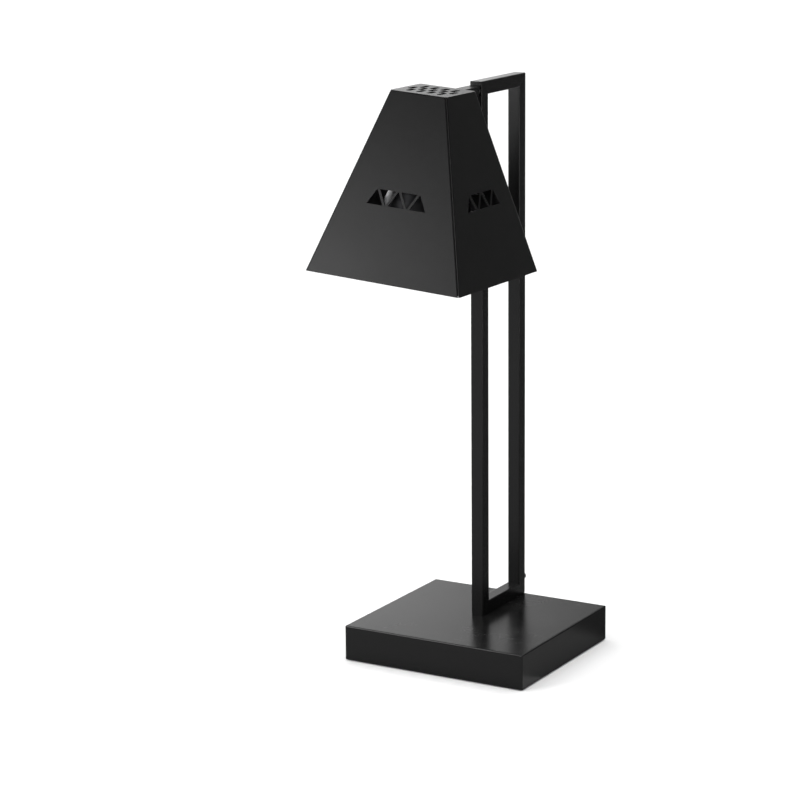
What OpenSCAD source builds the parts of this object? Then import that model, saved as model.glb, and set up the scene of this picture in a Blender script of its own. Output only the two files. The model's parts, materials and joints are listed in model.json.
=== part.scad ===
// Food heat lamp: a weighted box base, a closed loop of square tube, and a
// folded pyramid shade on a swivelling arm, with a screw-in reflector bulb.
// Origin at the centre of the base's footprint, on the table.
// +X to the right, -Y to the front, +Z up. Millimetres.

/* [Base] */
// Width of the base, left to right
base_w = 242; // [200:1:320]
// Depth of the base, front to back
base_d = 224; // [190:1:300]
// Height of the base's top above the table
base_h = 44; // [42:1:70]
// Sheet thickness of the base shell
base_wall = 2; // [1:0.5:3]
// Radius of the base's corners and top edges
base_r = 2; // [2:0.5:6]
// Gap between the skirt and the table
skirt_gap = 1.5; // [0.5:0.5:2]
// Thickness of the ballast plate
ballast_t = 12; // [6:1:14]
// Thickness of the bottom plate
bottom_t = 2; // [1:0.5:3]
// Thickness of the non-slip pad
pad_t = 2.5; // [2.5:0.5:4]

/* [Frame] */
// Outside width of the square tube
tube = 16; // [15:1:20]
// Wall thickness of the tube
tube_wall = 1.5; // [1:0.5:2]
// Outside corner radius of the tube
tube_r = 1.2; // [0.5:0.1:2]
// Depth of the loop, front face to rear face
frame_d = 111; // [90:1:150]
// Height of the loop above the base
frame_h = 652.5; // [560:0.5:760]
// Distance of the loop's rear face from the base's back edge
frame_inset = 0; // [0:1:20]

/* [Swivel] */
// Drop of the swivel's axis below the top of the loop
swivel_drop = 11.5; // [10.5:0.5:12]
// Diameter of the hollow spigot
spigot_d = 7; // [6:0.5:7.5]
// Bore of the spigot
spigot_bore = 4.2; // [4:0.1:4.8]
// Radial running clearance of the arm on the spigot
swivel_play = 0.03; // [0.02:0.01:0.08]
// Thickness of the spigot's collar
collar_t = 1.5; // [1:0.5:3]
// Thickness of the friction washer
friction_t = 2; // [1:0.5:3]
// Thickness of the spring washer
spring_t = 1; // [0.5:0.5:1.5]
// Length of the swivel nut
swivel_nut_l = 3.5; // [3:0.5:5]
// Turn of the shade to the right on its swivel, in degrees
shade_turn = 4.2; // [-20:0.1:20]

/* [Arm] */
// Width of the arm's channel
arm_w = 13; // [13:0.5:15]
// Height of the arm's channel
arm_h = 12; // [12:0.5:16]
// Height of the arm's top above the swivel's axis
arm_rise = 6.5; // [6.5:0.5:8]
// Sheet thickness of the arm
arm_t = 1.5; // [1:0.1:1.5]
// Thickness of the arm's bored end plate
arm_end_t = 2; // [1.5:0.5:3]
// Width of the arm's foot on the shade
foot_w = 30; // [28:1:40]
// Height of the arm's foot
foot_h = 21; // [20:1:26]

/* [Shade] */
// Height of the shade
shade_h = 210; // [200:2:260]
// Width of the shade's mouth
mouth_w = 202; // [190:1:260]
// Depth of the shade's mouth
mouth_d = 191.5; // [180:0.5:206]
// Width of the shade's cap
cap_w = 73.5; // [68:0.5:90]
// Depth of the shade's cap
cap_d = 69.5; // [66:0.5:86]
// Distance from the front upright's face to the shade's centre line
shade_reach = 103; // [100:1:130]
// Sheet thickness of the shade's walls
shade_t = 1.2; // [0.8:0.1:2]
// Outside radius of the bends at the shade's corners
bend_r = 3; // [2.5:0.5:5]
// Open seam between two walls at a corner, measured across the width
seam = 1; // [0:0.1:1.2]
// Sheet thickness of the cap
cap_t = 1.2; // [1:0.1:2]
// Corner radius of the cap
cap_r = 3; // [2:0.5:8]
// Depth of the cap's side lips
lip_h = 6; // [4:1:8]

/* [Vents] */
// Side of a triangular vent
vent_side = 21; // [12:1:24]
// Width of the bridge between two vents
vent_bridge = 3; // [3:0.5:6]
// Distance of the vent row below the top, along the wall
vent_drop = 122; // [80:1:150]
// Diameter of the cap's holes
hole_d = 8; // [4:0.2:8]
// Spacing of the cap's holes, front to back
hole_pitch = 13; // [11:0.5:16]
// Least distance of a hole's centre from the cap's edge
hole_margin = 8.2; // [8:0.1:12]

/* [Lamp holder] */
// Drop of the bracket's underside below the top of the shade
bracket_drop = 30; // [28:1:34]
// Sheet thickness of the bracket
bracket_t = 2; // [1:0.5:2.5]
// Width of the bracket
bracket_w = 36; // [34:1:44]
// Gap between the holder's mouth and the bulb's flare
holder_gap = 0.5; // [0.5:0.5:2]
// Diameter of the holder's skirt
holder_d = 44; // [38:1:50]
// Diameter of the holder's neck
holder_neck_d = 32; // [30:1:36]
// Drop of the bulb's tip below the bracket
tip_drop = 13.5; // [12:0.5:16]

/* [Bulb] */
// Diameter of the bulb's rim
bulb_d = 121; // [95:1:125]
// Length of the bulb, tip to lens
bulb_l = 136; // [120:1:140]
// Diameter of the screw cap
bulb_cap_d = 26.4; // [26:0.1:27]
// Length of the screw cap
bulb_cap_h = 22; // [20:1:24]
// Thickness of the reflector's glass
glass_t = 2.2; // [1.5:0.1:3]
// Height of the reflector's straight rim
rim_h = 11; // [6:1:16]
// Depth of the lens below the rim
lens_sag = 8; // [6:0.5:12]

/* [Lead] */
// Diameter of the lead inside the lamp
lead_d = 3.6; // [3:0.1:3.8]
// Outside diameter of the cable gland
gland_d = 8.4; // [8:0.2:10]
// Bore of the cable gland
gland_bore = 6.2; // [5.6:0.1:6.6]
// Length of the gland outside the tube
gland_out = 10; // [6:1:14]
// Height of the gland above the base
gland_rise = 19; // [14:1:60]

/* [Hidden] */
$fn = 64;

// Colours
black_coat = [0.10, 0.10, 0.105];
dark_steel = [0.28, 0.28, 0.30];
zinc = [0.72, 0.72, 0.74];
rubber = [0.06, 0.06, 0.06];
brass = [0.80, 0.66, 0.36];
porcelain = [0.93, 0.92, 0.88];
fibre = [0.08, 0.07, 0.06];
lead_white = [0.85, 0.84, 0.80];
mirror_glass = [0.80, 0.80, 0.82];
lens_glass = [0.90, 0.91, 0.92];

// Clearances
fixed_gap = 0.05;
loose_gap = 0.5;
cut = 1;

// Base levels
shell_in_w = base_w - 2 * base_wall;
shell_in_d = base_d - 2 * base_wall;
shell_in_r = max(base_r - base_wall, 0.5);
plate_top = pad_t + bottom_t;
ballast_top = base_h - base_wall;
ballast_bottom = ballast_top - ballast_t;
ballast_margin = 5;
pad_margin = 6;
plate_screw_inset = 24;
plate_screw_r = 2.5;
plate_screw_head_r = 4.5;
plate_screw_head_t = 2;
screw_socket_r = 1.7;
screw_socket_h = 1.4;
plate_screw_bite = ballast_t / 2;
spacer_r = 6;
pad_hole_r = plate_screw_head_r + 1.5;

// Loop levels
loop_rear = base_d / 2 - frame_inset;
loop_front = loop_rear - frame_d;
loop_top = base_h + frame_h;
tube_in = tube - 2 * tube_wall;
bolt_r = 3;
bolt_head_r = 5.7;
bolt_head_t = 4;
washer_r = 8;
washer_t = 1.6;
nut_body_r = 4.4;
nut_bulge_r = 5.6;
nut_bulge_l = 2.5;
nut_l = tube_in - 1;
bolt_y = [loop_front + frame_d * 0.27, loop_rear - frame_d * 0.27];

// Swivel and arm
swivel_z = loop_top - swivel_drop;
collar_r = spigot_d / 2 + 2;
spigot_lip_r = spigot_d / 2 + 1;
spigot_lip_t = 1.2;
arm_back = loop_front - collar_t - friction_t;
arm_front_face = arm_back - arm_end_t;
nut_face = arm_front_face - spring_t;
spigot_end = nut_face - swivel_nut_l - 1;
arm_top = swivel_z + arm_rise;
arm_bottom = arm_top - arm_h;
swivel_nut_r = spigot_d / 2 + 1.1;

// Shade
shade_top = loop_top;
shade_bottom = shade_top - shade_h;
shade_y = loop_front - shade_reach;
run_x = (mouth_w - cap_w) / 2;
run_y = (mouth_d - cap_d) / 2;
tilt_x = atan(run_x / shade_h);
tilt_y = atan(run_y / shade_h);
wall_x = shade_t / cos(tilt_x);
wall_y = shade_t / cos(tilt_y);
wall_top = shade_top - cap_t;
hole_step = hole_pitch * sqrt(3) / 2;
hole_cols = floor((cap_w - 2 * hole_margin) / hole_step) + 1;
hole_rows = floor((cap_d - 2 * hole_margin) / hole_pitch) + 1;
side_out = [cos(tilt_x), 0, sin(tilt_x)];
face_out = [0, cos(tilt_y), sin(tilt_y)];
edge_run = [run_x, run_y, -shade_h];
bend_steps = 7;
bend_line = [cap_w / 2, cap_d / 2, shade_top] - bend_r * (side_out + face_out) / (1 + side_out * face_out);
foot_y = arm_t / cos(tilt_y);
foot_top = wall_top - 2;
foot_bottom = foot_top - foot_h;
rivet_r = 2;
rivet_head_r = 3.4;
rivet_head_t = 1.4;
rivet_x = arm_w / 2 + rivet_head_r + 0.6;
rivet_z = (foot_top + foot_bottom) / 2 - 3;
sleeve_r = lead_d / 2 + 1.6;

// Lamp holder
bracket_z = shade_top - bracket_drop;
bracket_top = foot_top - 2;
bracket_y = wall_y + bracket_t / cos(tilt_y);
bracket_front = 24;
holder_screw_x = 10.5;
holder_screw_r = 2;
holder_screw_head_r = 3.6;
holder_screw_head_t = 2.4;
holder_screw_l = 7;
thread_play = 0.4;
shell_t = 0.8;
shell_inset = 3;
holder_shell_r = bulb_cap_d / 2 + thread_play;
holder_bore_r = holder_shell_r + shell_t + fixed_gap;
tip_z = bracket_z - tip_drop;
chamber_r = 8.5;
chamber_top = tip_z + 4;
terminal_r = lead_d / 2 + 0.3;
terminal_z = chamber_top + 2;

// Bulb
tip_t = 1.5;
tip_r = 4.6;
insulator_h = 3.5;
cap_top = tip_z - tip_t - insulator_h;
cap_bottom = cap_top - bulb_cap_h;
holder_bottom = cap_bottom + holder_gap;
cap_skin = 0.6;
neck_r = bulb_cap_d / 2 - cap_skin - fixed_gap;
neck_in = 4;
flare_r = bulb_cap_d / 2;
lens_face = tip_z - bulb_l;
rim_bottom = lens_face + lens_sag;
rim_top = rim_bottom + rim_h;
flare_steps = 14;
lens_steps = 10;
lens_t = 3;
lens_edge = 2.5;
post_x = 5;
post_r = 0.8;
post_l = 22;

// Lead
gland_z = base_h + gland_rise;
gland_neck_r = gland_bore / 2 + 0.8;
gland_nut_t = 2.5;
gland_in = loop_rear - tube_wall - gland_nut_t;
lead_r = lead_d / 2;
lead_start = gland_in - 0.4;
lead_rise_y = loop_rear - tube / 2 - 1.5;
dip_bend = 3;
lead_top_z = swivel_z + 2 * dip_bend;
gland_bend = lead_start - lead_rise_y;
corner_bend = 8;
dip_end = loop_front + tube_wall + spigot_lip_t + 3;
dip_start = dip_end + 2 * dip_bend;
drop_bend = 10;
lead_split = 0.4;

// Outer face of the shade's rear wall at a height
function rear_y(z) = shade_y + cap_d / 2 + (shade_top - z) * run_y / shade_h;

// Radius of the bulb's parabolic flare at a height
function flare(z) =
    let (span = cap_bottom - rim_top)
    sqrt(pow(flare_r, 2) + (pow(bulb_d / 2, 2) - pow(flare_r, 2)) * (cap_bottom - z) / span);

// Rectangle with round corners, about its centre
module round_rect(w, d, r) {
    square([w - 2 * r, d], center = true);
    square([w, d - 2 * r], center = true);
    for (x = [-1, 1], y = [-1, 1])
        translate([x * (w / 2 - r), y * (d / 2 - r)])
            circle(r);
}

// Outline with round top corners, standing on y = low
module round_top(w, low, high, r) {
    translate([-w / 2, low])
        square([w, high - r - low]);
    translate([r - w / 2, low])
        square([w - 2 * r, high - low]);
    for (x = [-1, 1])
        translate([x * (w / 2 - r), high - r])
            circle(r);
}

// Box with round upright corners and round top edges
module soft_box(w, d, low, high, r) {
    intersection() {
        translate([0, 0, low])
            linear_extrude(high - low)
                round_rect(w, d, r);
        rotate([90, 0, 0])
            linear_extrude(d, center = true)
                round_top(w, low, high, r);
        rotate([90, 0, 90])
            linear_extrude(w, center = true)
                round_top(d, low, high, r);
    }
}

// Outline in the Y-Z plane given width along X
module side_extrude(w) {
    rotate([90, 0, 90])
        linear_extrude(w, center = true)
            children();
}

// Round rod along Y
module rod_y(y0, y1, z, r) {
    translate([0, max(y0, y1), z])
        rotate([90, 0, 0])
            cylinder(h = abs(y1 - y0), r = r);
}

// Bent rod in the Y-Z plane, from angle a0 over a sweep
module bend_yz(y, z, bend, r, a0, sweep) {
    translate([0, y, z])
        rotate([90, 0, 90])
            rotate([0, 0, a0])
                rotate_extrude(angle = sweep)
                    translate([bend, 0])
                        circle(r);
}

// Places of the four plate screws
module at_plate_screws() {
    for (x = [-1, 1], y = [-1, 1])
        translate([x * (base_w / 2 - plate_screw_inset), y * (base_d / 2 - plate_screw_inset), 0])
            children();
}

// Places of the two frame bolts
module at_frame_bolts() {
    for (y = bolt_y)
        translate([0, y, 0])
            children();
}

// Turn of the whole head on its swivel
module head_pose() {
    translate([0, 0, swivel_z])
        rotate([0, shade_turn, 0])
            translate([0, 0, -swivel_z])
                children();
}

// The head's upright centre line
module on_lamp_axis() {
    head_pose()
        translate([0, shade_y, 0])
            children();
}

// Base

module base_shell() {
    color(black_coat)
        difference() {
            soft_box(base_w, base_d, skirt_gap, base_h, base_r);
            soft_box(shell_in_w, shell_in_d, -cut, base_h - base_wall, shell_in_r);
            at_frame_bolts()
                cylinder(h = base_h + cut, r = bolt_r + loose_gap);
        }
}

module ballast_plate() {
    color(dark_steel)
        difference() {
            translate([0, 0, ballast_bottom])
                linear_extrude(ballast_t)
                    round_rect(shell_in_w - 2 * ballast_margin, shell_in_d - 2 * ballast_margin, 4);
            at_frame_bolts()
                cylinder(h = base_h, r = bolt_r + loose_gap);
            at_plate_screws()
                translate([0, 0, ballast_bottom - cut])
                    cylinder(h = plate_screw_bite + 1 + cut, r = plate_screw_r + fixed_gap);
        }
}

module bottom_plate() {
    color(dark_steel)
        difference() {
            translate([0, 0, pad_t])
                linear_extrude(bottom_t)
                    round_rect(shell_in_w - 2 * loose_gap, shell_in_d - 2 * loose_gap, shell_in_r);
            at_plate_screws()
                cylinder(h = plate_top + cut, r = plate_screw_r + loose_gap);
        }
}

module plate_spacers() {
    color(zinc)
        at_plate_screws()
            translate([0, 0, plate_top])
                difference() {
                    cylinder(h = ballast_bottom - plate_top, r = spacer_r);
                    translate([0, 0, -cut])
                        cylinder(h = base_h, r = plate_screw_r + loose_gap);
                }
}

module plate_screws() {
    color(zinc)
        at_plate_screws()
            translate([0, 0, pad_t - plate_screw_head_t])
                difference() {
                    union() {
                        cylinder(h = plate_screw_head_t, r = plate_screw_head_r);
                        cylinder(h = ballast_bottom + plate_screw_bite - pad_t + plate_screw_head_t, r = plate_screw_r);
                    }
                    translate([0, 0, -cut])
                        cylinder(h = screw_socket_h + cut, r = screw_socket_r, $fn = 6);
                }
}

module base_pad() {
    color(rubber)
        difference() {
            linear_extrude(pad_t)
                round_rect(shell_in_w - 2 * pad_margin, shell_in_d - 2 * pad_margin, 6);
            at_plate_screws()
                translate([0, 0, -cut])
                    cylinder(h = pad_t + 2 * cut, r = pad_hole_r);
        }
}

module frame_bolts() {
    color(zinc)
        at_frame_bolts() {
            translate([0, 0, ballast_bottom - washer_t - bolt_head_t])
                cylinder(h = bolt_head_t, r = bolt_head_r, $fn = 6);
            translate([0, 0, ballast_bottom - washer_t - cut])
                cylinder(h = base_h + nut_l - ballast_bottom + washer_t, r = bolt_r);
        }
}

module frame_washers() {
    color(zinc)
        at_frame_bolts()
            translate([0, 0, ballast_bottom - washer_t])
                difference() {
                    cylinder(h = washer_t, r = washer_r);
                    translate([0, 0, -cut])
                        cylinder(h = washer_t + 2 * cut, r = bolt_r + loose_gap / 2);
                }
}

module rivet_nuts() {
    color(zinc)
        at_frame_bolts()
            difference() {
                union() {
                    translate([0, 0, base_h])
                        cylinder(h = nut_l, r = nut_body_r);
                    translate([0, 0, base_h + tube_wall])
                        cylinder(h = nut_bulge_l, r = nut_bulge_r);
                }
                translate([0, 0, base_h - cut])
                    cylinder(h = nut_l + 2 * cut, r = bolt_r + fixed_gap);
            }
}

// Loop of square tube, mitred at its corners

module tube_ring() {
    difference() {
        round_rect(tube, tube, tube_r);
        square(tube_in, center = true);
    }
}

module upright_tube(y) {
    translate([0, y, base_h])
        linear_extrude(frame_h)
            tube_ring();
}

module level_tube(z) {
    translate([0, loop_rear, z])
        rotate([90, 0, 0])
            linear_extrude(frame_d)
                tube_ring();
}

module front_upright() {
    color(black_coat)
        difference() {
            intersection() {
                upright_tube(loop_front + tube / 2);
                side_extrude(tube + 2 * cut)
                    polygon([
                        [loop_front, base_h], [loop_front, loop_top],
                        [loop_front + tube, loop_top - tube], [loop_front + tube, base_h + tube]
                    ]);
            }
            rod_y(loop_front - cut, loop_front + tube / 2, swivel_z, spigot_d / 2 + fixed_gap);
        }
}

module rear_upright() {
    color(black_coat)
        difference() {
            intersection() {
                upright_tube(loop_rear - tube / 2);
                side_extrude(tube + 2 * cut)
                    polygon([
                        [loop_rear, base_h], [loop_rear, loop_top],
                        [loop_rear - tube, loop_top - tube], [loop_rear - tube, base_h + tube]
                    ]);
            }
            rod_y(loop_rear - tube / 2, loop_rear + cut, gland_z, gland_neck_r + fixed_gap);
        }
}

module top_bar() {
    color(black_coat)
        intersection() {
            level_tube(loop_top - tube / 2);
            side_extrude(tube + 2 * cut)
                polygon([
                    [loop_front, loop_top], [loop_rear, loop_top],
                    [loop_rear - tube, loop_top - tube], [loop_front + tube, loop_top - tube]
                ]);
        }
}

module bottom_bar() {
    color(black_coat)
        difference() {
            intersection() {
                level_tube(base_h + tube / 2);
                side_extrude(tube + 2 * cut)
                    polygon([
                        [loop_front, base_h], [loop_rear, base_h],
                        [loop_rear - tube, base_h + tube], [loop_front + tube, base_h + tube]
                    ]);
            }
            at_frame_bolts()
                translate([0, 0, base_h - cut])
                    cylinder(h = tube / 2 + cut, r = nut_body_r + fixed_gap);
        }
}

// Lead and its gland

module cable_gland() {
    color(rubber)
        difference() {
            union() {
                rod_y(loop_rear, loop_rear + gland_out, gland_z, gland_d / 2);
                rod_y(gland_in, loop_rear, gland_z, gland_neck_r);
            }
            rod_y(gland_in - cut, loop_rear + gland_out + cut, gland_z, gland_bore / 2);
        }
}

module gland_nut() {
    color(rubber)
        difference() {
            rod_y(gland_in, gland_in + gland_nut_t, gland_z, gland_neck_r + 1.4);
            rod_y(gland_in - cut, gland_in + gland_nut_t + cut, gland_z, gland_neck_r + fixed_gap);
        }
}

module stand_lead() {
    color(lead_white) {
        bend_yz(lead_start, gland_z + gland_bend, gland_bend, lead_r, 180, 90);
        translate([0, lead_rise_y, gland_z + gland_bend])
            cylinder(h = lead_top_z - corner_bend - gland_z - gland_bend, r = lead_r);
        bend_yz(lead_rise_y - corner_bend, lead_top_z - corner_bend, corner_bend, lead_r, 0, 90);
        rod_y(dip_start, lead_rise_y - corner_bend, lead_top_z, lead_r);
        bend_yz(dip_start, lead_top_z - dip_bend, dip_bend, lead_r, 90, 90);
        bend_yz(dip_end, swivel_z + dip_bend, dip_bend, lead_r, 270, 90);
        rod_y(spigot_end, dip_end, swivel_z, lead_r);
    }
}

// Swivel

module swivel_spigot() {
    color(zinc)
        difference() {
            union() {
                rod_y(spigot_end, loop_front + tube_wall + spigot_lip_t, swivel_z, spigot_d / 2);
                rod_y(loop_front - collar_t, loop_front, swivel_z, collar_r);
                rod_y(loop_front + tube_wall, loop_front + tube_wall + spigot_lip_t, swivel_z, spigot_lip_r);
            }
            rod_y(spigot_end - cut, loop_front + tube, swivel_z, spigot_bore / 2);
        }
}

module friction_washer() {
    color(fibre)
        difference() {
            rod_y(arm_back, arm_back + friction_t, swivel_z, collar_r);
            rod_y(arm_back - cut, arm_back + friction_t + cut, swivel_z, spigot_d / 2 + fixed_gap);
        }
}

module spring_washer() {
    color(zinc)
        difference() {
            rod_y(nut_face, arm_front_face, swivel_z, swivel_nut_r);
            rod_y(nut_face - cut, arm_front_face + cut, swivel_z, spigot_d / 2 + fixed_gap);
        }
}

module swivel_nut() {
    color(zinc)
        difference() {
            translate([0, nut_face, swivel_z])
                rotate([90, 0, 0])
                    cylinder(h = swivel_nut_l, r = swivel_nut_r, $fn = 12);
            rod_y(nut_face - swivel_nut_l - cut, nut_face + cut, swivel_z, spigot_d / 2 + fixed_gap);
        }
}

// Arm

module at_arm_rivets() {
    for (x = [-1, 1])
        translate([x * rivet_x, rear_y(rivet_z), rivet_z])
            rotate([tilt_y - 90, 0, 0])
                children();
}

module rivet_holes() {
    at_arm_rivets()
        translate([0, 0, -10])
            cylinder(h = 20, r = rivet_r + fixed_gap);
}

module sleeve_hole() {
    rod_y(rear_y(swivel_z) - 12, rear_y(swivel_z) + 8, swivel_z, sleeve_r + fixed_gap);
}

module hanger_arm() {
    color(black_coat)
        head_pose()
            difference() {
                union() {
                    difference() {
                        side_extrude(arm_w)
                            polygon([
                                [arm_back, arm_bottom], [arm_back, arm_top],
                                [rear_y(arm_top) + foot_y / 2, arm_top],
                                [rear_y(arm_bottom) + foot_y / 2, arm_bottom]
                            ]);
                        side_extrude(arm_w - 2 * arm_t)
                            polygon([
                                [arm_front_face, arm_bottom - cut], [arm_front_face, arm_top - arm_t],
                                [rear_y(arm_top), arm_top - arm_t], [rear_y(arm_top), arm_bottom - cut]
                            ]);
                    }
                    side_extrude(foot_w)
                        polygon([
                            [rear_y(foot_top), foot_top], [rear_y(foot_top) + foot_y, foot_top],
                            [rear_y(foot_bottom) + foot_y, foot_bottom], [rear_y(foot_bottom), foot_bottom]
                        ]);
                }
                rod_y(arm_front_face - cut, arm_back + cut, swivel_z, spigot_d / 2 + swivel_play);
                sleeve_hole();
                rivet_holes();
            }
}

module arm_rivets() {
    color(black_coat)
        head_pose()
            at_arm_rivets() {
                translate([0, 0, arm_t])
                    cylinder(h = rivet_head_t, r = rivet_head_r);
                translate([0, 0, -shade_t - bracket_t - rivet_head_t])
                    cylinder(h = rivet_head_t, r = rivet_head_r);
                translate([0, 0, -shade_t - bracket_t - cut])
                    cylinder(h = shade_t + bracket_t + arm_t + 2 * cut, r = rivet_r);
            }
}

module lead_sleeve() {
    color(rubber)
        head_pose()
            difference() {
                rod_y(rear_y(swivel_z) - bracket_y - 3, rear_y(swivel_z) + foot_y + 3, swivel_z, sleeve_r);
                rod_y(rear_y(swivel_z) - 20, rear_y(swivel_z) + 20, swivel_z, lead_r + fixed_gap);
            }
}

// Shade

module vent_row(wall_side) {
    rise = wall_side * sqrt(3) / 2;
    step = wall_side / 2 + vent_bridge / sin(60);
    for (i = [-2:2])
        translate([i * step, -vent_drop])
            mirror([0, i % 2 == 0 ? 0 : 1])
                polygon([[-wall_side / 2, -rise / 2], [wall_side / 2, -rise / 2], [0, rise / 2]]);
}

// Point of a corner's bend at a height, step 0 on the side wall and the last on the front or rear wall
function bend_point(step, r, z) =
    let (v = side_out * (bend_steps - step) + face_out * step, p = bend_line + r * v / norm(v))
    p + edge_run * (p[2] - z) / shade_h;

// Outline of the shade at a height, round its four bends
function shade_ring(r, z) = [
    for (i = [0:bend_steps]) bend_point(i, r, z),
    for (i = [bend_steps:-1:0]) let (p = bend_point(i, r, z)) [-p[0], p[1], z],
    for (i = [0:bend_steps]) let (p = bend_point(i, r, z)) [-p[0], -p[1], z],
    for (i = [bend_steps:-1:0]) let (p = bend_point(i, r, z)) [p[0], -p[1], z]
];

// Pyramid with round corners of radius r between two heights
module round_pyramid(r, low, high) {
    count = 4 * (bend_steps + 1);
    polyhedron(
        points = concat(shade_ring(r, low), shade_ring(r, high)),
        faces = concat(
            [[for (i = [0:count - 1]) i]],
            [[for (i = [count - 1:-1:0]) count + i]],
            [for (i = [0:count - 1]) [i, count + i, count + (i + 1) % count, (i + 1) % count]]
        )
    );
}

// One wall of the pyramid with its halves of the corner bends, facing +Y before its turn
module shade_wall(turn, top_w, low_w, off, run, trim = 0) {
    tilt = atan(run / shade_h);
    spread = (low_w - top_w) / 2;
    on_lamp_axis()
        difference() {
            intersection() {
                difference() {
                    round_pyramid(bend_r, shade_bottom, wall_top);
                    round_pyramid(bend_r - shade_t, shade_bottom - cut, wall_top + cut);
                }
                rotate([0, 0, turn])
                    translate([0, 0, shade_bottom - cut])
                        linear_extrude(wall_top - shade_bottom + 2 * cut)
                            polygon([
                                for (k = [-0.4, 1.2]) [top_w / 2 + k * spread - trim, off + k * run],
                                for (k = [1.2, -0.4]) [-top_w / 2 - k * spread + trim, off + k * run]
                            ]);
            }
            rotate([0, 0, turn])
                translate([0, off, shade_top])
                    rotate([tilt + 90, 0, 0])
                        translate([0, 0, -cut])
                            linear_extrude(shade_t + 2 * cut)
                                vent_row(vent_side);
        }
}

module shade_front() {
    color(black_coat)
        shade_wall(180, cap_w, mouth_w, cap_d / 2, run_y, seam);
}

module shade_right() {
    color(black_coat)
        shade_wall(-90, cap_d, mouth_d, cap_w / 2, run_x);
}

module shade_left() {
    color(black_coat)
        shade_wall(90, cap_d, mouth_d, cap_w / 2, run_x);
}

module shade_rear() {
    color(black_coat)
        difference() {
            shade_wall(0, cap_w, mouth_w, cap_d / 2, run_y, seam);
            head_pose() {
                sleeve_hole();
                rivet_holes();
            }
        }
}

module shade_cap() {
    lip_x = cap_w / 2 + cap_t * run_x / shade_h - wall_x - 0.3;
    color(black_coat)
        on_lamp_axis() {
            translate([0, 0, wall_top])
                linear_extrude(cap_t)
                    difference() {
                        round_rect(cap_w, cap_d, cap_r);
                        for (col = [0:hole_cols - 1], row = [0:hole_rows - 1 - col % 2])
                            translate([
                                (col - (hole_cols - 1) / 2) * hole_step,
                                (row - (hole_rows - 1 - col % 2) / 2) * hole_pitch
                            ])
                                circle(hole_d / 2);
                    }
            for (side = [-1, 1])
                translate([side * (lip_x - shade_t / 2), 0, wall_top - lip_h / 2 + cap_t / 2])
                    cube([shade_t, cap_d - 4 * cap_r, lip_h + cap_t], center = true);
        }
}

// Lamp holder

module holder_bracket() {
    color(zinc)
        head_pose()
            difference() {
                side_extrude(bracket_w)
                    polygon([
                        [rear_y(bracket_z) - wall_y, bracket_z],
                        [rear_y(bracket_top) - wall_y, bracket_top],
                        [rear_y(bracket_top) - bracket_y, bracket_top],
                        [rear_y(bracket_z + bracket_t) - bracket_y, bracket_z + bracket_t],
                        [shade_y - bracket_front, bracket_z + bracket_t],
                        [shade_y - bracket_front, bracket_z]
                    ]);
                translate([0, shade_y, bracket_z - cut]) {
                    cylinder(h = bracket_t + 2 * cut, r = lead_r + 1.2);
                    for (x = [-1, 1])
                        translate([x * holder_screw_x, 0, 0])
                            cylinder(h = bracket_t + 2 * cut, r = holder_screw_r + fixed_gap);
                }
                sleeve_hole();
                rivet_holes();
            }
}

module holder_body() {
    color(porcelain)
        on_lamp_axis()
            difference() {
                rotate_extrude()
                    polygon([
                        [terminal_r, bracket_z], [holder_neck_d / 2, bracket_z],
                        [holder_neck_d / 2, tip_z + 6], [holder_d / 2, tip_z + 1],
                        [holder_d / 2, holder_bottom + 2], [holder_d / 2 - 2, holder_bottom],
                        [holder_bore_r, holder_bottom], [holder_bore_r, tip_z - tip_t],
                        [chamber_r, tip_z - tip_t], [chamber_r, chamber_top],
                        [terminal_r, chamber_top]
                    ]);
                for (x = [-1, 1])
                    translate([x * holder_screw_x, 0, bracket_z - holder_screw_l - 1])
                        cylinder(h = holder_screw_l + 1 + cut, r = holder_screw_r + fixed_gap);
            }
}

module holder_shell() {
    color(brass)
        on_lamp_axis()
            rotate_extrude()
                translate([holder_shell_r, holder_bottom + shell_inset])
                    square([shell_t, tip_z - tip_t - holder_bottom - 2 * shell_inset]);
}

module holder_contact() {
    color(brass)
        on_lamp_axis() {
            translate([0, 0, tip_z + fixed_gap])
                cylinder(h = 0.8, r = tip_r + 0.8);
            translate([0, 0, tip_z + fixed_gap])
                cylinder(h = terminal_z - tip_z - fixed_gap, r = lead_r - 0.2);
        }
}

module holder_screws() {
    color(zinc)
        on_lamp_axis()
            for (x = [-1, 1])
                translate([x * holder_screw_x, 0, bracket_z]) {
                    translate([0, 0, bracket_t])
                        cylinder(h = holder_screw_head_t, r = holder_screw_head_r);
                    translate([0, 0, -holder_screw_l])
                        cylinder(h = holder_screw_l + bracket_t + cut, r = holder_screw_r);
                }
}

module head_lead() {
    color(lead_white)
        head_pose() {
            rod_y(shade_y + drop_bend, spigot_end - lead_split, swivel_z, lead_r);
            bend_yz(shade_y + drop_bend, swivel_z - drop_bend, drop_bend, lead_r, 90, 90);
            translate([0, shade_y, terminal_z])
                cylinder(h = swivel_z - drop_bend - terminal_z, r = lead_r);
        }
}

// Bulb

module bulb_reflector() {
    color(mirror_glass)
        on_lamp_axis()
            rotate_extrude()
                polygon([
                    [0, cap_bottom + neck_in], [neck_r, cap_bottom + neck_in], [neck_r, cap_bottom],
                    for (i = [0:flare_steps])
                        let (z = cap_bottom + (rim_top - cap_bottom) * pow(i / flare_steps, 1.6))
                        [flare(z), z],
                    [bulb_d / 2, rim_bottom], [bulb_d / 2 - glass_t, rim_bottom],
                    for (i = [flare_steps:-1:2])
                        let (z = cap_bottom + (rim_top - cap_bottom) * pow(i / flare_steps, 1.6))
                        [flare(z) - glass_t, z],
                    [0, cap_bottom + (rim_top - cap_bottom) * pow(2 / flare_steps, 1.6)]
                ]);
}

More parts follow.
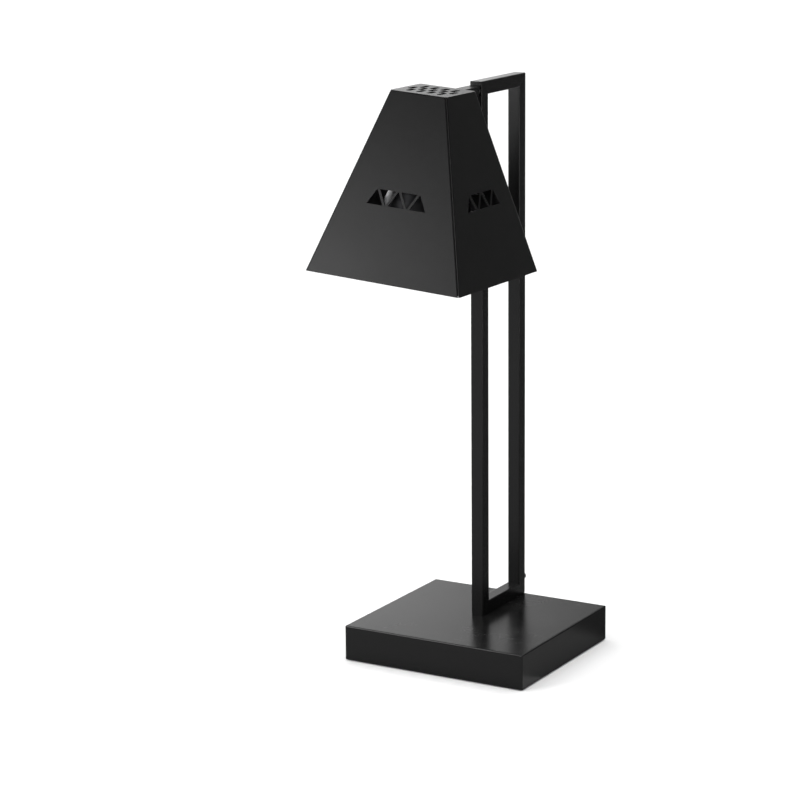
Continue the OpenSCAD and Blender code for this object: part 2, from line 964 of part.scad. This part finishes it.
// Depth of the lens's curve at a radius, for a lens of a given edge radius and sag
function lens_curve(r, edge, sag) =
    let (ball = (edge * edge + sag * sag) / (2 * sag))
    sqrt(ball * ball - r * r) - (ball - sag);

module bulb_lens() {
    edge = bulb_d / 2 - 0.5;
    well = edge - 4;
    sag = lens_sag - lens_edge;
    color(lens_glass)
        on_lamp_axis()
            rotate_extrude()
                polygon([
                    for (i = [0:lens_steps])
                        let (r = edge * i / lens_steps)
                        [r, rim_bottom - lens_edge - lens_curve(r, edge, sag)],
                    [edge, rim_bottom],
                    for (i = [lens_steps:-1:0])
                        let (r = well * i / lens_steps)
                        [r, rim_bottom - lens_curve(r, well, lens_sag - lens_t)]
                ]);
}

module bulb_screw_cap() {
    color(brass)
        on_lamp_axis()
            rotate_extrude()
                polygon([
                    [bulb_cap_d / 2 - cap_skin, cap_bottom], [bulb_cap_d / 2, cap_bottom],
                    [bulb_cap_d / 2, cap_top - 2], [bulb_cap_d / 2 - 2, cap_top],
                    [bulb_cap_d / 2 - 4, cap_top], [bulb_cap_d / 2 - 4, cap_top - cap_skin],
                    [bulb_cap_d / 2 - 2, cap_top - cap_skin], [bulb_cap_d / 2 - cap_skin, cap_top - 2]
                ]);
}

module bulb_insulator() {
    color(rubber)
        on_lamp_axis()
            translate([0, 0, cap_top])
                cylinder(h = insulator_h, r1 = bulb_cap_d / 2 - 2.2, r2 = tip_r);
}

module bulb_contact() {
    color(zinc)
        on_lamp_axis()
            translate([0, 0, cap_top + insulator_h])
                cylinder(h = tip_t, r1 = tip_r, r2 = tip_r - 0.6);
}

module bulb_filament() {
    floor_z = cap_bottom + (rim_top - cap_bottom) * pow(2 / flare_steps, 1.6);
    color(zinc)
        on_lamp_axis() {
            for (x = [-1, 1])
                translate([x * post_x, 0, floor_z - post_l])
                    cylinder(h = post_l, r = post_r);
            translate([0, 0, floor_z - post_l])
                rotate([-90, 0, 0])
                    rotate_extrude(angle = 180)
                        translate([post_x, 0])
                            circle(post_r * 0.9);
        }
}

base_shell();
ballast_plate();
bottom_plate();
plate_spacers();
plate_screws();
base_pad();
frame_bolts();
frame_washers();
rivet_nuts();
front_upright();
rear_upright();
top_bar();
bottom_bar();
cable_gland();
gland_nut();
stand_lead();
swivel_spigot();
friction_washer();
spring_washer();
swivel_nut();
hanger_arm();
arm_rivets();
lead_sleeve();
shade_front();
shade_right();
shade_rear();
shade_left();
shade_cap();
holder_bracket();
holder_body();
holder_shell();
holder_contact();
holder_screws();
head_lead();
bulb_reflector();
bulb_lens();
bulb_screw_cap();
bulb_insulator();
bulb_contact();
bulb_filament();
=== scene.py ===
import json
import math

import bmesh
import bpy
from mathutils import Matrix, Vector

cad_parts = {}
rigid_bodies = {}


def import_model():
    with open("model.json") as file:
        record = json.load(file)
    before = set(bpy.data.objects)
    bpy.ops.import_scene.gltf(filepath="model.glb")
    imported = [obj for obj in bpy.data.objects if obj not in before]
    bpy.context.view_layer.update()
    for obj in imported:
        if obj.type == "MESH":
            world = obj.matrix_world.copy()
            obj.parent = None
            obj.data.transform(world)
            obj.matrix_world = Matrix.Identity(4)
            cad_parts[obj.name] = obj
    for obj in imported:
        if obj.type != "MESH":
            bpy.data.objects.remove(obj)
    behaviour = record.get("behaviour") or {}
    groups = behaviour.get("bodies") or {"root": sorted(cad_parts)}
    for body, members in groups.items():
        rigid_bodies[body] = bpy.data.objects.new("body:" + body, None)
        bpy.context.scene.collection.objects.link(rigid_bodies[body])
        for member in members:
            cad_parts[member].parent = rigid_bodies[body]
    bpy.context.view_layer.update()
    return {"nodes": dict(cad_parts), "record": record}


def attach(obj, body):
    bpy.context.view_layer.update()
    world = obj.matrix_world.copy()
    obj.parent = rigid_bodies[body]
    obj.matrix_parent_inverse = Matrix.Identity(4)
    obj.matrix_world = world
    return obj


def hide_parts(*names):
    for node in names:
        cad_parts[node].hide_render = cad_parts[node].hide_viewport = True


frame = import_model()
nodes = frame["nodes"]
behaviour = frame["record"]["behaviour"]
bodyOf = {node: body for body, members in behaviour["bodies"].items() for node in members}
slotOf = {row["node"]: row["material_slot"] for row in frame["record"]["subparts"]}
print("frame loaded:", len(nodes), "pieces")


class Wire:  # an output socket that takes part in Python maths
    noiseMiddle = 0.5
    colourMix = {"share": 0, "low": 6, "high": 7, "out": 2}  # sockets of a Mix node that blends colours

    def __init__(self, tree, socket=None):
        self.tree = tree
        self.socket = socket

    def add(self, kind, settings=None, inputs=None, out=0):
        node = self.tree.nodes.new("ShaderNode" + kind)
        for name, value in (settings or {}).items():
            setattr(node, name, value)
        for key, value in (inputs or {}).items():
            self.plug(node.inputs[key], value)
        return Wire(self.tree, node.outputs[out])

    def plug(self, socket, value):
        if isinstance(value, Wire):
            self.tree.links.new(value.socket, socket)
        else:
            socket.default_value = value

    def sum(self, operation, left, right):
        return self.add("Math", {"operation": operation}, {0: left, 1: right})

    def __add__(self, other):
        return self.sum("ADD", self, other)

    def __sub__(self, other):
        return self.sum("SUBTRACT", self, other)

    def __rsub__(self, other):
        return self.sum("SUBTRACT", other, self)

    def __mul__(self, other):
        return self.sum("MULTIPLY", self, other)

    __radd__ = __add__
    __rmul__ = __mul__

    def blend(self, low, high):  # from one colour to another as this wire goes from 0 to 1
        mix = self.colourMix
        inputs = {mix["share"]: self, mix["low"]: low, mix["high"]: high}
        return self.add("Mix", {"data_type": "RGBA"}, inputs, mix["out"])

    def squeeze(self, low, high):  # 0 below low, 1 above high
        return self.add("MapRange", {"interpolation_type": "SMOOTHSTEP"},
                        {"Value": self, "From Min": low, "From Max": high})

    def swing(self, size):  # noise to either side of 0
        return (self - self.noiseMiddle) * size

    def along(self, way):  # how far this vector goes in a direction
        return self.add("VectorMath", {"operation": "DOT_PRODUCT"}, {0: self, 1: tuple(way)}, "Value")

    def rise(self):  # the upward part of this vector
        return self.add("SeparateXYZ", {}, {0: self}, "Z")


# Camera, as fitted to the photograph's corners

view = {
    "turn": 30.242,
    "rise": 12.959,
    "lean": -0.523,
    "distance": 3.271162,
    "aim": (0, 0, 0.3),
    "slide": (-0.091714, 0.013852),
    "focal": 2721.614,
    "picture": 800,
    "sensor": 36.0,
    "farthest": 200,
}


def placeCamera(v):
    turn, rise, lean = (math.radians(v[k]) for k in ("turn", "rise", "lean"))
    back = Vector((math.sin(turn) * math.cos(rise), -math.cos(turn) * math.cos(rise), math.sin(rise)))
    right = Vector((math.cos(turn), math.sin(turn), 0))
    up = back.cross(right)
    across = right * math.cos(lean) + up * math.sin(lean)
    above = up * math.cos(lean) - right * math.sin(lean)
    spot = Vector(v["aim"]) + back * v["distance"] + across * v["slide"][0] + above * v["slide"][1]
    data = bpy.data.cameras.new("camera")
    data.sensor_width = v["sensor"]
    data.lens = v["focal"] / v["picture"] * v["sensor"]
    data.clip_end = v["farthest"]
    camera = bpy.data.objects.new("camera", data)
    bpy.context.scene.collection.objects.link(camera)
    turned = Matrix((across, above, back)).transposed().to_4x4()
    camera.matrix_world = Matrix.Translation(spot) @ turned
    bpy.context.scene.camera = camera
    return across


screenRight = placeCamera(view)
print("camera placed")


# Finishes

def newFinish(name, plain):
    material = bpy.data.materials.new(name)
    material.use_nodes = True
    shader = material.node_tree.nodes["Principled BSDF"]
    for key, value in plain.items():
        shader.inputs[key].default_value = value
    place = Wire(material.node_tree).add("TexCoord", out="Object")
    return material, shader, place


def grain(place, scale, detail=2.0, rough=0.5):
    return place.add("TexNoise", {}, {"Vector": place, "Scale": scale, "Detail": detail, "Roughness": rough})


def bump(height, depth):
    return height.add("Bump", {}, {"Strength": 1.0, "Distance": depth, "Height": height})


def darker(tone, share):
    return tuple(c * share for c in tone[:3]) + (1,)


def plugIn(shader, wires):
    for name, wire in wires.items():
        wire.plug(shader.inputs[name], wire)


# Powder coat: cloudy gloss, a fine orange peel, specks, dust on level faces, matt rims of cut holes

powder = {
    "black": (0.0022, 0.0022, 0.0023, 1),
    "worn": (0.004, 0.004, 0.0041, 1),
    "specular": 0.15,
    "gloss": 0.235,
    "glossSwing": 0.06,
    "cloudScale": 9,
    "cloudShare": 0.7,
    "peelScale": 620,
    "peelDepth": 0.00006,
    "peelRough": 0.04,
    "speckScale": 2600,
    "speckBand": (0.62, 0.74),
    "speckShare": 0.5,
    "dust": 0.0,
    "dustScale": 24,
    "dustBand": (0.4, 0.75),
    "dustLevel": (0.8, 0.98),
    "dustTone": (0.03, 0.03, 0.029, 1),
    "dustRough": 0.05,
    "mattRims": False,
    "rimBand": (0.9, 0.985),
}
baseCoat = dict(powder, peelDepth=0.00003, dust=0.25)
shadeCoat = dict(powder, gloss=0.32, peelScale=1700, peelDepth=0.00005)
capCoat = dict(shadeCoat, gloss=0.26, mattRims=True)


def powderCoat(name, p):
    material, shader, place = newFinish(name, {"Specular IOR Level": p["specular"]})
    cloud = grain(place, p["cloudScale"], detail=3, rough=0.6)
    peel = grain(place, p["peelScale"], detail=1.5)
    speck = grain(place, p["speckScale"], detail=1).squeeze(*p["speckBand"])
    level = place.add("NewGeometry", out="Normal").rise().squeeze(*p["dustLevel"])
    dust = grain(place, p["dustScale"], detail=3, rough=0.55).squeeze(*p["dustBand"]) * level * p["dust"]
    paint = (cloud * p["cloudShare"] + speck * p["speckShare"]).blend(p["black"], p["worn"])
    sheen = p["gloss"] + cloud.swing(p["glossSwing"]) + peel * p["peelRough"] + dust * p["dustRough"]
    if p["mattRims"]:
        rim = 1 - place.add("TexCoord", out="Normal").rise().squeeze(*p["rimBand"])
        sheen = sheen + rim * (1 - p["gloss"])
    plugIn(shader, {
        "Base Color": dust.blend(paint, p["dustTone"]),
        "Roughness": sheen,
        "Normal": bump(peel, p["peelDepth"]),
    })
    return material


metalLook = {"cloudScale": 60, "cloudShare": 0.6, "fineShare": 0.4, "darkest": 0.72, "depth": 0.00003}


def bareMetal(name, tone, rough, roughSwing, scale):
    look = metalLook
    material, shader, place = newFinish(name, {"Metallic": 1.0})
    cloud = grain(place, look["cloudScale"], detail=3)
    fine = grain(place, scale)
    mottle = cloud * look["cloudShare"] + fine * look["fineShare"]
    plugIn(shader, {
        "Base Color": mottle.blend(darker(tone, look["darkest"]), tone),
        "Roughness": rough + fine.swing(roughSwing),
        "Normal": bump(fine, look["depth"]),
    })
    return material


mattLook = {"cloudScale": 40, "cloudShare": 0.5, "fineShare": 0.5, "darkest": 0.7, "roughSwing": 0.15}


def mattStuff(name, tone, rough, scale, depth):
    look = mattLook
    material, shader, place = newFinish(name, {})
    cloud = grain(place, look["cloudScale"], detail=3)
    fine = grain(place, scale)
    mottle = cloud * look["cloudShare"] + fine * look["fineShare"]
    plugIn(shader, {
        "Base Color": mottle.blend(darker(tone, look["darkest"]), tone),
        "Roughness": rough + cloud.swing(look["roughSwing"]),
        "Normal": bump(fine, depth),
    })
    return material


glaze = {
    "coatRough": 0.05,
    "cloudScale": 30,
    "darkest": 0.9,
    "roughShare": 0.06,
    "coat": 0.6,
    "coatShare": 0.3,
}


def glazed(name, tone, rough, scale, depth):
    material, shader, place = newFinish(name, {"Coat Roughness": glaze["coatRough"]})
    cloud = grain(place, glaze["cloudScale"], detail=3)
    wave = grain(place, scale, detail=1)
    plugIn(shader, {
        "Base Color": cloud.blend(darker(tone, glaze["darkest"]), tone),
        "Roughness": rough + cloud * glaze["roughShare"],
        "Coat Weight": glaze["coat"] + cloud * glaze["coatShare"],
        "Normal": bump(wave, depth),
    })
    return material


stipple = {
    "clear": 0.85,
    "index": 1.5,
    "scale": 300,
    "smooth": 0.6,
    "depth": 0.0008,
    "cloudScale": 25,
    "tones": ((0.86, 0.88, 0.9, 1), (0.96, 0.97, 0.98, 1)),
    "rough": 0.12,
    "roughShare": 0.08,
}


def stippledGlass(name, g):
    material, shader, place = newFinish(name, {"Transmission Weight": g["clear"], "IOR": g["index"]})
    dimple = place.add("TexVoronoi", {"feature": "SMOOTH_F1"},
                       {"Vector": place, "Scale": g["scale"], "Smoothness": g["smooth"]})
    cloud = grain(place, g["cloudScale"])
    plugIn(shader, {
        "Base Color": cloud.blend(*g["tones"]),
        "Roughness": g["rough"] + cloud * g["roughShare"],
        "Normal": bump(dimple, g["depth"]),
    })
    return material


finishes = {
    "black_coat": powderCoat("framePowderCoat", powder),
    "base_coat": powderCoat("basePowderCoat", baseCoat),
    "shade_coat": powderCoat("shadePowderCoat", shadeCoat),
    "cap_coat": powderCoat("capPowderCoat", capCoat),
    "dark_steel": bareMetal("millSteel", tone=(0.3, 0.3, 0.31, 1), rough=0.45, roughSwing=0.2, scale=700),
    "zinc_steel": bareMetal("zincPlate", tone=(0.66, 0.66, 0.68, 1), rough=0.32, roughSwing=0.2, scale=900),
    "brass": bareMetal("plainBrass", tone=(0.78, 0.57, 0.25, 1), rough=0.28, roughSwing=0.15, scale=900),
    "black_rubber": mattStuff("padRubber", tone=(0.022, 0.022, 0.022, 1), rough=0.8, scale=900, depth=0.0002),
    "black_plastic": mattStuff("glandNylon", tone=(0.02, 0.02, 0.021, 1), rough=0.5, scale=1500,
                               depth=0.00005),
    "lead_sheath": mattStuff("silicone", tone=(0.7, 0.68, 0.62, 1), rough=0.55, scale=1200, depth=0.00004),
    "fibre": mattStuff("darkFibre", tone=(0.03, 0.024, 0.02, 1), rough=0.7, scale=1100, depth=0.0001),
    "porcelain": glazed("porcelainGlaze", tone=(0.82, 0.79, 0.72, 1), rough=0.16, scale=90, depth=0.0001),
    "black_glass": glazed("blackGlass", tone=(0.02, 0.02, 0.022, 1), rough=0.12, scale=120, depth=0.0001),
    "silvered_glass": bareMetal("silveredGlass", tone=(0.055, 0.055, 0.058, 1), rough=0.34,
                                roughSwing=0.05, scale=400),
    "lens_glass": stippledGlass("stippledGlass", stipple),
}
ownCoat = {"base_shell": "base_coat", "shade_cap": "cap_coat"}


def finishOf(node):
    if node in ownCoat:
        return finishes[ownCoat[node]]
    return finishes["shade_coat" if node.startswith("shade_") else slotOf[node]]


print("finishes made:", len(finishes))


# Lamp's own frame: the bulb's axis, and the directions across and along the shade

def lampFrame():
    joint = next(j for j in behaviour["joints"] if j["name"] == "bulb_turn")
    up = -Vector(joint["axis"]).normalized()
    back = Vector((0, 1, 0))
    return Vector(joint["pos_m"]), back.cross(up).normalized(), back, up


lampFoot, lampRight, lampBack, lampUp = lampFrame()


def onLamp(u, v, height):
    return lampFoot + lampRight * u + lampBack * v + lampUp * height


# Pieces: what shows outside gets soft edges on a copy, the rest keep their solid

softEdges = {
    "base_shell": 0.0005,
    "front_upright": 0.0004,
    "rear_upright": 0.0004,
    "top_bar": 0.0004,
    "bottom_bar": 0.0004,
    "hanger_arm": 0.0003,
    "arm_rivets": 0.0007,
    "shade_front": 0.00035,
    "shade_right": 0.00035,
    "shade_rear": 0.00035,
    "shade_left": 0.00035,
    "shade_cap": 0.0002,
    "cable_gland": 0.0006,
    "plate_screws": 0.0004,
    "base_pad": 0.0005,
}
edgeWork = {
    "weld": 1e-6,
    "flatDegrees": 0.4,
    "sharpDegrees": 32,
    "steps": 2,
    "roundProfile": 0.5,
    "evenWeight": 90,
}


def camelName(node):
    first, *rest = node.split("_")
    return first + "".join(w.capitalize() for w in rest)


def roundOff(mesh, edges, width, steps):
    bmesh.ops.bevel(mesh, geom=edges, offset=width, segments=steps, profile=edgeWork["roundProfile"],
                    affect="EDGES", clamp_overlap=True)


def newPiece(name, mesh, node):  # a piece that stands for a node, on the node's body
    for face in mesh.faces:
        face.smooth = True
    data = bpy.data.meshes.new(name)
    mesh.to_mesh(data)
    mesh.free()
    data.materials.append(finishOf(node))
    piece = bpy.data.objects.new(name, data)
    bpy.context.scene.collection.objects.link(piece)
    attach(piece, bodyOf[node])
    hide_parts(node)
    return piece


# Folded edge round the top of the base

topBend = {
    "node": "base_shell",
    "radius": 0.0018,
    "steps": 5,
    "margin": 0.004,
    "sharp": 0.6,
    "touch": 1e-5,
}


def bendTop(mesh, b):
    low = [min(v.co[k] for v in mesh.verts) + b["margin"] for k in range(2)]
    high = [max(v.co[k] for v in mesh.verts) - b["margin"] for k in range(2)]
    top = max(v.co.z for v in mesh.verts) - b["touch"]

    def outer(spot):
        return spot.z > top and any(not low[k] < spot[k] < high[k] for k in range(2))

    fold = [e for e in mesh.edges if e.is_convex and e.calc_face_angle(0) > b["sharp"]
            and all(outer(v.co) for v in e.verts)]
    roundOff(mesh, fold, b["radius"], b["steps"])
    print("top bend:", len(fold), "edges")


# Shade: a folded lip behind each open corner seam, and the slots of the cap

shade = {
    "cap": (0.0735, 0.0695),
    "mouth": (0.202, 0.1915),
    "height": 0.21,
    "top": 0.0115,
    "bend": 0.003,
    "sheet": 0.0012,
    "play": 0.00003,
}
seamLip = {
    "sides": {"shade_right": 1, "shade_left": -1},
    "skin": 0.0005,
    "inset": 0.0015,
    "steps": 7,
}
slotPlate = {
    "node": "shade_cap",
    "corner": 0.003,
    "rows": (4, 5, 4),
    "pitch": (0.0134, 0.0156),
    "slot": (0.0058, 0.017),
    "steps": 6,
}


def backSeams(mesh, s, lip, side):
    runX, runY = ((wide - narrow) / 2 for wide, narrow in zip(s["mouth"], s["cap"]))
    sideOut = Vector((s["height"], 0, runX)).normalized()
    faceOut = Vector((0, s["height"], runY)).normalized()
    slope = Vector((runX, runY, -s["height"])) / s["height"]
    line = Vector((s["cap"][0] / 2, s["cap"][1] / 2, s["top"]))
    line -= (sideOut + faceOut) * s["bend"] / (1 + sideOut.dot(faceOut))

    def spot(step, radius, height, front):
        out = (sideOut * (lip["steps"] - step) + faceOut * step).normalized()
        p = line + out * radius
        p += slope * (p.z - height)
        return onLamp(side * p.x, front * p.y, p.z)

    outer = s["bend"] - s["sheet"] - s["play"]
    ends = (s["top"] - s["height"] + lip["inset"], s["top"] - s["sheet"] - lip["inset"])
    made = []
    for front in (-1, 1):
        outline = [(k, outer) for k in range(1, lip["steps"] + 1)]
        outline += [(k, outer - lip["skin"]) for k in range(lip["steps"], 0, -1)]
        foot, head = ([mesh.verts.new(spot(k, r, z, front)) for k, r in outline] for z in ends)
        for k in range(len(outline)):
            made.append(mesh.faces.new((foot[k - 1], foot[k], head[k], head[k - 1])))
        made += [mesh.faces.new(foot), mesh.faces.new(head)]
    bmesh.ops.recalc_face_normals(mesh, faces=made)


def cutSlots(mesh, s, plate):  # keeps the solid's side lips and lays a plate with staggered slots on them
    everything = mesh.verts[:] + mesh.edges[:] + mesh.faces[:]
    bmesh.ops.bisect_plane(mesh, geom=everything, clear_outer=True, plane_no=lampUp,
                           plane_co=onLamp(0, 0, s["top"] - s["sheet"] - s["play"]))
    bmesh.ops.holes_fill(mesh, edges=[e for e in mesh.edges if e.is_boundary])

    def outline(u, v, wide, deep, radius):
        corners = []
        for quarter in range(4):
            midU = u + (wide / 2 - radius) * (1 if quarter in (0, 3) else -1)
            midV = v + (deep / 2 - radius) * (1 if quarter in (0, 1) else -1)
            for k in range(plate["steps"] + 1):
                turn = (quarter + k / plate["steps"]) * math.pi / 2
                spot = onLamp(midU + radius * math.cos(turn), midV + radius * math.sin(turn), s["top"])
                if not corners or (spot - corners[-1].co).length > edgeWork["weld"]:
                    corners.append(mesh.verts.new(spot))
        return [mesh.edges.new(pair) for pair in zip(corners, corners[1:] + corners[:1])]

    edges = outline(0, 0, *s["cap"], plate["corner"])
    for row, count in enumerate(plate["rows"]):
        v = (row - (len(plate["rows"]) - 1) / 2) * plate["pitch"][1]
        for k in range(count):
            u = (k - (count - 1) / 2) * plate["pitch"][0]
            edges += outline(u, v, *plate["slot"], plate["slot"][0] / 2)
    made = bmesh.ops.triangle_fill(mesh, use_beauty=True, edges=edges, normal=lampUp)["geom"]
    made = [f for f in made if isinstance(f, bmesh.types.BMFace)]
    lower = bmesh.ops.extrude_face_region(mesh, geom=made)["geom"]
    lower = [v for v in lower if isinstance(v, bmesh.types.BMVert)]
    bmesh.ops.translate(mesh, verts=lower, vec=-lampUp * s["sheet"])
    bmesh.ops.recalc_face_normals(mesh, faces=mesh.faces)
    print("slots cut:", sum(plate["rows"]))


def soften(node, width):
    mesh = bmesh.new()
    mesh.from_mesh(nodes[node].data)
    bmesh.ops.remove_doubles(mesh, verts=mesh.verts, dist=edgeWork["weld"])
    bmesh.ops.dissolve_limit(mesh, angle_limit=math.radians(edgeWork["flatDegrees"]),
                             verts=mesh.verts, edges=mesh.edges)
    if node == topBend["node"]:
        bendTop(mesh, topBend)
    if node == slotPlate["node"]:
        cutSlots(mesh, shade, slotPlate)
    least = math.radians(edgeWork["sharpDegrees"])
    sharp = [e for e in mesh.edges if len(e.link_faces) == 2 and e.calc_face_angle(0) > least]
    roundOff(mesh, sharp, width, edgeWork["steps"])
    if node in seamLip["sides"]:
        backSeams(mesh, shade, seamLip, seamLip["sides"][node])
    piece = newPiece(camelName(node), mesh, node)
    even = piece.modifiers.new("evenShading", "WEIGHTED_NORMAL")
    even.weight = edgeWork["evenWeight"]


# Bulb's screw cap: a plain skirt, the rolled thread and a shoulder

thread = {
    "node": "bulb_screw_cap",
    "pitch": 0.003629,
    "depth": 0.0008,
    "plain": 0.0052,
    "shoulder": 0.0024,
    "turnIn": 0.002,
    "skin": 0.0004,
    "touch": 1e-5,
    "turnSteps": 96,
    "pitchSteps": 10,
}


def rollThread(t):
    spots = [v.co - lampFoot for v in nodes[t["node"]].data.vertices]
    heights = [p.dot(lampUp) for p in spots]
    radii = [(p - lampUp * h).length for p, h in zip(spots, heights)]
    low, high, wide = min(heights), max(heights), max(radii)
    seat = min(r for r, h in zip(radii, heights) if h < low + t["touch"])
    first, last = low + t["plain"], high - t["shoulder"]

    def ridge(z, turn):
        swell = min(1, max(0, (z - first) / t["pitch"]), max(0, (last - z) / t["pitch"]))
        groove = (1 + math.cos(2 * math.pi * z / t["pitch"] - turn)) / 2
        return wide - t["depth"] * swell * groove

    rows = int((last - low) / t["pitch"] * t["pitchSteps"])
    outer = [(low + (last - low) * k / rows, None) for k in range(rows + 1)]
    mouth = wide - 2 * t["turnIn"]
    inner = wide - t["depth"] - t["skin"]
    rim = [
        (high, wide - t["turnIn"]),
        (high, mouth),
        (high - t["skin"], mouth),
        (high - t["skin"], inner - t["turnIn"] / 2),
        (last, inner),
        (first, inner),
        (first, seat),
        (low, seat),
    ]
    mesh = bmesh.new()
    rings = []
    for z, fixed in outer + rim:
        ring = []
        for k in range(t["turnSteps"]):
            turn = 2 * math.pi * k / t["turnSteps"]
            reach = ridge(z, turn) if fixed is None else fixed
            ring.append(mesh.verts.new(onLamp(-reach * math.cos(turn), -reach * math.sin(turn), z)))
        rings.append(ring)
    for ring, after in zip(rings, rings[1:] + rings[:1]):
        for k in range(t["turnSteps"]):
            n = (k + 1) % t["turnSteps"]
            mesh.faces.new((ring[k], ring[n], after[n], after[k]))
    bmesh.ops.recalc_face_normals(mesh, faces=mesh.faces)
    newPiece("threadedCap", mesh, t["node"])


rollThread(thread)
print("thread rolled")

for node in nodes:
    if node in softEdges:
        soften(node, softEdges[node])
    elif node != thread["node"]:
        nodes[node].material_slots[0].material = finishOf(node)
print("pieces dressed:", len(nodes), "with soft edges:", len(softEdges))


# Studio: a room that is bright behind on the left, a wide light overhead, and lamps

room = {
    "dim": 0.17,
    "backLeft": 2.3,
    "backFade": (-0.05, 0.13),
    "frontLeft": 0.45,
    "frontFade": (-0.7, -0.35),
    "turnFade": (-0.1, 0.3),
    "lowFade": (0.2, 0.46),
    "overhead": 3.35,
    "overheadSpread": 90,
}
lamps = {
    "softbox": {
        "place": (-0.975, -1.51, 0.83),
        "aim": (-0.05, -0.12, 0.55),
        "size": (0.5, 0.5),
        "power": 13,
        "edgesOnly": False,
    },
    "strip": {
        "place": (1.05, -0.58, 0.65),
        "aim": (0, 0, 0.5),
        "size": (0.2, 1.3),
        "power": 16,
        "edgesOnly": True,
    },
    "foldStrip": {
        "place": (-0.735, -1.03, 0.97),
        "aim": (-0.735, -0.112, 0.044),
        "size": (0.5, 0.2),
        "power": 12,
        "edgesOnly": True,
        "only": "baseShell",
    },
    "backBox": {
        "place": (0.05, 1.9, 1.3),
        "aim": (0, 0, 0.55),
        "size": (1.0, 0.7),
        "power": 3,
        "edgesOnly": True,
    },
}


def lightRoom(r):
    world = bpy.data.worlds.new("studio")
    bpy.context.scene.world = world
    world.use_nodes = True
    heading = Wire(world.node_tree).add("TexCoord", out="Generated")
    up = Vector((0, 0, 1))
    side = heading.along(screenRight)
    depth = heading.along(up.cross(screenRight).normalized())
    height = heading.along(up)
    behind = depth.squeeze(*r["turnFade"])
    back = behind * (1 - side.squeeze(*r["backFade"])) * r["backLeft"]
    front = (1 - behind) * (1 - side.squeeze(*r["frontFade"])) * r["frontLeft"]
    level = r["dim"] + (back + front) * (1 - height.squeeze(*r["lowFade"]))
    background = world.node_tree.nodes["Background"]
    background.inputs["Color"].default_value = (1, 1, 1, 1)
    level.plug(background.inputs["Strength"], level)

    sun = bpy.data.lights.new("overhead", "SUN")
    sun.energy = r["overhead"]
    sun.angle = math.radians(r["overheadSpread"])
    bpy.context.scene.collection.objects.link(bpy.data.objects.new("overhead", sun))


def hangLamp(name, m):
    box = bpy.data.lights.new(name, "AREA")
    box.shape = "RECTANGLE"
    box.size, box.size_y = m["size"]
    box.energy = m["power"]
    lamp = bpy.data.objects.new(name, box)
    lamp.location = m["place"]
    away = Vector(m["place"]) - Vector(m["aim"])
    lamp.rotation_euler = away.to_track_quat("Z", "Y").to_euler()
    lamp.visible_camera = False
    lamp.visible_diffuse = not m["edgesOnly"]
    if "only" in m:
        lit = bpy.data.collections.new(name)
        lit.objects.link(bpy.data.objects[m["only"]])
        lamp.light_linking.receiver_collection = lit
    bpy.context.scene.collection.objects.link(lamp)


def newSheet(name, corners, faces):
    data = bpy.data.meshes.new(name)
    data.from_pydata(corners, [], faces)
    sheet = bpy.data.objects.new(name, data)
    bpy.context.scene.collection.objects.link(sheet)
    return sheet


paleFloor = {"size": 60, "tone": (0.92, 0.92, 0.92, 1), "darkest": 0.98, "cloudScale": 0.8}


def layFloor(f):
    half = f["size"] / 2
    corners = [(-half, -half, 0), (half, -half, 0), (half, half, 0), (-half, half, 0)]
    floor = newSheet("floor", corners, [(0, 1, 2, 3)])
    material, shader, place = newFinish("paleFloor", {"Roughness": 0.9, "Specular IOR Level": 0.1})
    cloud = grain(place, f["cloudScale"])
    plugIn(shader, {"Base Color": cloud.blend(darker(f["tone"], f["darkest"]), f["tone"])})
    floor.data.materials.append(material)


# Dark sheet on the floor behind and to the right, seen in reflections only: painted shade in the reflections
# of the faces that look that way

darkCloth = {
    "near": (0.4, 0.4, 0.4, 1),
    "far": (0.12, 0.12, 0.12, 1),
    "way": (-0.379, 0.925, 0),
    "fade": (0.035, 0.075),
    "reach": (0.1, 25),
    "turns": (12, 115),
    "steps": 8,
    "lift": 0.001,
}


# Lays the painted-shade sheet: hidden from the camera, from diffuse light and from shadows, so it only
# darkens reflections
def layShadeReflection(c):
    first, last = c["turns"]
    rays = [math.radians(first + (last - first) * k / c["steps"]) for k in range(c["steps"] + 1)]
    corners = [(math.sin(a) * far, math.cos(a) * far, c["lift"]) for a in rays for far in c["reach"]]
    faces = [(2 * k, 2 * k + 1, 2 * k + 3, 2 * k + 2) for k in range(c["steps"])]
    cloth = newSheet("cloth", corners, faces)
    material, shader, place = newFinish("darkCloth", {"Roughness": 1.0, "Specular IOR Level": 0.0})
    # Painted shade in reflections: lighter grey on the near side, darker farther out
    plugIn(shader, {"Base Color": place.along(c["way"]).squeeze(*c["fade"]).blend(c["near"], c["far"])})
    cloth.data.materials.append(material)
    cloth.visible_camera = False
    cloth.visible_diffuse = False
    cloth.visible_shadow = False
    cloth.visible_transmission = False


lightRoom(room)
for name, lamp in lamps.items():
    hangLamp(name, lamp)
layFloor(paleFloor)
# Sheet of painted shade that shows in reflections only
layShadeReflection(darkCloth)
bpy.context.scene.view_settings.view_transform = "Standard"
print("studio lit")
